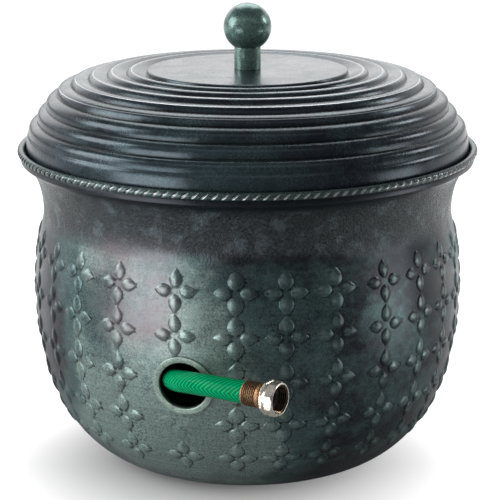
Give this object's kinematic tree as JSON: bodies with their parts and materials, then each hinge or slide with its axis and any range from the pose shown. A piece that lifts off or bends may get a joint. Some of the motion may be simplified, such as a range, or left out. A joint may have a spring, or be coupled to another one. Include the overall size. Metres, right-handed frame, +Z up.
{
  "type": "garden hose pot",
  "caption": "Spun steel pot with a stepped lift-off lid, ball knob, rope edge and round side port, storing a coiled garden hose with a swivel coupling.",
  "frame": {"origin": "on the ground under the centre of the pot's foot, on the pot's own axis", "axes": "+Z up along the pot's axis, -Y towards the front, where the hose port lies 16 degrees to the left, +X to the right seen from the front"},
  "size_m": [0.4728, 0.541, 0.4697],
  "materials": {
    "patina": "semi-gloss teal and brown verdigris over pressed steel",
    "lid_patina": "semi-gloss dark slate with a teal cast",
    "zinc": "zinc plated",
    "hose": "clear emerald outer layer over a chevron braid",
    "crimp": "dark copper brown, crimped",
    "nickel": "nickel plated brass",
    "brass": "machined",
    "rubber": "matt"
  },
  "bodies": {
    "pot": {"side_shell": "patina", "base_plate": "patina", "rope_rim": "patina", "rim_wire": "zinc", "port_ring": "patina", "hose_lead": "hose", "hose_coil": "hose", "hose_ferrule": "crimp", "coupling_tail": "brass", "male_ferrule": "crimp", "male_fitting": "nickel"},
    "lid": {"lid_shell": "lid_patina", "lid_wire": "zinc", "knob_ball": "lid_patina", "knob_neck": "lid_patina", "knob_screw": "zinc", "knob_washer": "zinc", "knob_nut": "zinc"},
    "coupling": {"coupling_nut": "nickel", "coupling_seal": "rubber"}
  },
  "joints": [
    {"name": "lid_lift", "type": "slide", "parent": "pot", "child": "lid", "axis": [0, 0, 1], "range_m": [0, 0.2]},
    {"name": "coupling_swivel", "type": "hinge", "parent": "pot", "child": "coupling", "pos_m": [0.03, -0.292, 0.15], "axis": [0.8365, -0.5477, 0.0199], "continuous": true}
  ]
}
